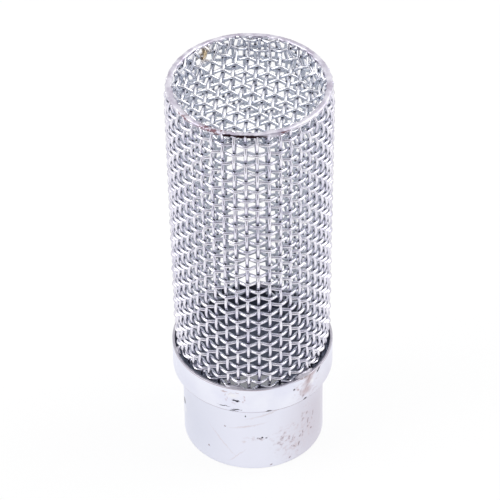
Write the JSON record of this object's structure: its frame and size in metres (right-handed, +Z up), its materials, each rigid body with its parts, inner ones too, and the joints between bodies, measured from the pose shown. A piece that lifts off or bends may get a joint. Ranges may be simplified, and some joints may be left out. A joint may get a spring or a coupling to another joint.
{
  "type": "inlet screen",
  "caption": "Tubular woven wire suction strainer with a dished mesh top, on a pressed steel collar whose spigot fits a hydraulic inlet",
  "frame": {"origin": "middle of the spigot's foot, on the axis of the screen", "axes": "+Z runs up the axis from the spigot to the dished mesh top, -Y faces the viewer of the picture, +X is to their right"},
  "size_m": [0.038, 0.0376, 0.102],
  "materials": {
    "zinc_sheet": "bright zinc plate, slightly scuffed and stained",
    "zinc_wire": "bright zinc-plated wire",
    "fused_rim": "fused wire ends with a faint heat tint"
  },
  "bodies": {
    "root": {"collar": "zinc_sheet", "mesh_sleeve": "zinc_wire", "top_cap": "zinc_wire", "rim_ring": "fused_rim"}
  },
  "joints": []
}
